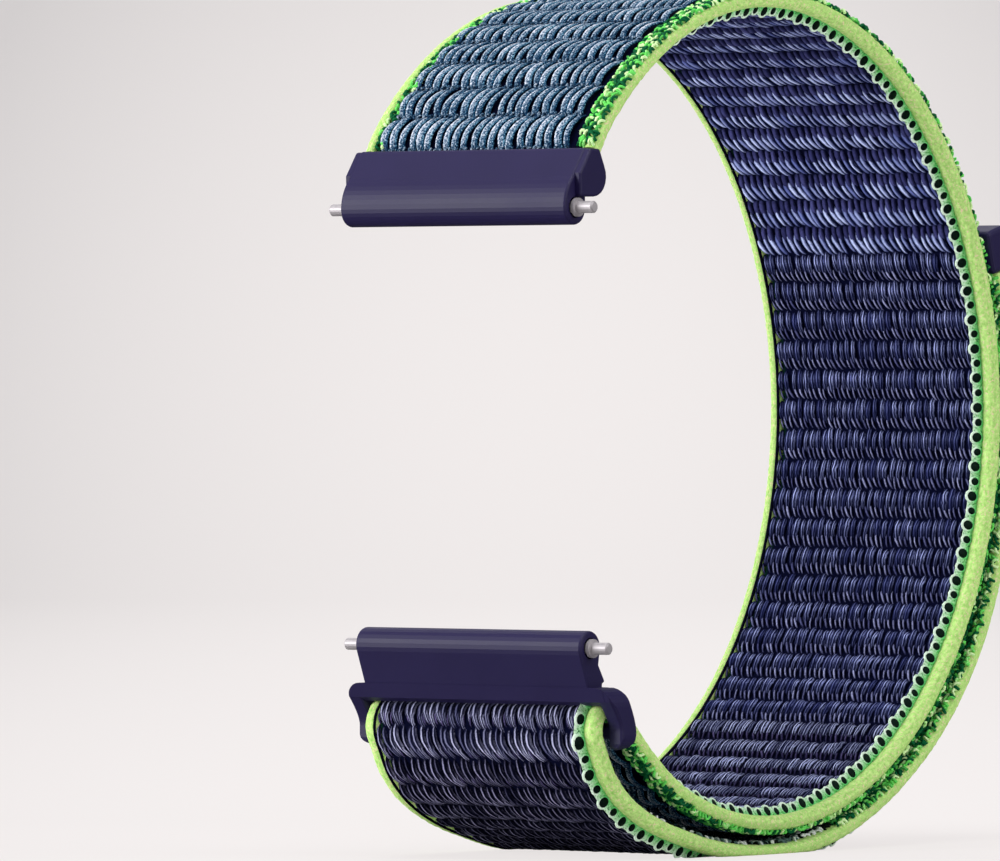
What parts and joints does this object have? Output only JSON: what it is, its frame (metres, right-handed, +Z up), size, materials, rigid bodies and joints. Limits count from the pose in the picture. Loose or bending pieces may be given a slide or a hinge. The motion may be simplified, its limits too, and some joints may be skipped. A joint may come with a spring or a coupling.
{
  "type": "nylon watch strap",
  "caption": "Woven nylon hook-and-loop watch strap, closed into its loop: a moulded lug with a sprung bar at each end, a folded tail with corded edges and a pull tab.",
  "frame": {"origin": "centre of the loop's footprint, on the surface it stands on", "axes": "X across the strap along the spring bars, -Y to the side where the watch sits, +Z up"},
  "size_m": [0.0248, 0.059, 0.0658],
  "materials": {
    "indigo_plastic": "fine satin mould texture",
    "bar_steel": "turned stainless steel",
    "navy_weave": "ribbed woven nylon",
    "loop_pile": "soft loop pile",
    "lime_cord": "spun nylon edge cord",
    "hook_tape": "moulded hook tape"
  },
  "bodies": {
    "strap": {"band_weave": "navy_weave", "band_pile": "loop_pile", "band_cord_left": "lime_cord", "band_cord_right": "lime_cord", "upper_lug": "indigo_plastic"},
    "upper_bar": {"upper_bar_tube": "bar_steel", "upper_bar_spring": "bar_steel"},
    "upper_tip_left": {"upper_tip_left": "bar_steel"},
    "upper_tip_right": {"upper_tip_right": "bar_steel"},
    "lower_lug": {"lower_lug": "indigo_plastic"},
    "lower_bar": {"lower_bar_tube": "bar_steel", "lower_bar_spring": "bar_steel"},
    "lower_tip_left": {"lower_tip_left": "bar_steel"},
    "lower_tip_right": {"lower_tip_right": "bar_steel"},
    "tail_flap": {"flap_weave": "navy_weave", "flap_pile": "loop_pile", "hook_patch": "hook_tape", "flap_cord_left": "lime_cord", "flap_cord_right": "lime_cord", "tail_tab": "indigo_plastic"}
  },
  "joints": [
    {"name": "upper_bar_turn", "type": "hinge", "parent": "strap", "child": "upper_bar", "pos_m": [0, -0.02825, 0.04869], "axis": [1, 0, 0], "continuous": true},
    {"name": "upper_tip_left_slide", "type": "slide", "parent": "upper_bar", "child": "upper_tip_left", "axis": [1, 0, 0], "range_m": [0, 0.0013], "stiffness_N_per_m": 500, "deforming": ["upper_bar_spring"]},
    {"name": "upper_tip_right_slide", "type": "slide", "parent": "upper_bar", "child": "upper_tip_right", "axis": [-1, 0, 0], "range_m": [0, 0.0013], "stiffness_N_per_m": 500, "deforming": ["upper_bar_spring"]},
    {"name": "lower_lug_swing", "type": "hinge", "parent": "strap", "child": "lower_lug", "pos_m": [0, -0.02385, 0.00989], "axis": [1, 0, 0], "range_deg": [-20, 20]},
    {"name": "lower_bar_turn", "type": "hinge", "parent": "lower_lug", "child": "lower_bar", "pos_m": [0, -0.0264, 0.01607], "axis": [1, 0, 0], "continuous": true},
    {"name": "lower_tip_left_slide", "type": "slide", "parent": "lower_bar", "child": "lower_tip_left", "axis": [1, 0, 0], "range_m": [0, 0.0013], "stiffness_N_per_m": 500, "deforming": ["lower_bar_spring"]},
    {"name": "lower_tip_right_slide", "type": "slide", "parent": "lower_bar", "child": "lower_tip_right", "axis": [-1, 0, 0], "range_m": [0, 0.0013], "stiffness_N_per_m": 500, "deforming": ["lower_bar_spring"]},
    {"name": "tail_peel", "type": "hinge", "parent": "strap", "child": "tail_flap", "pos_m": [0, 0.01342, 0.00407], "axis": [-1, 0, 0], "range_deg": [0, 50]}
  ]
}
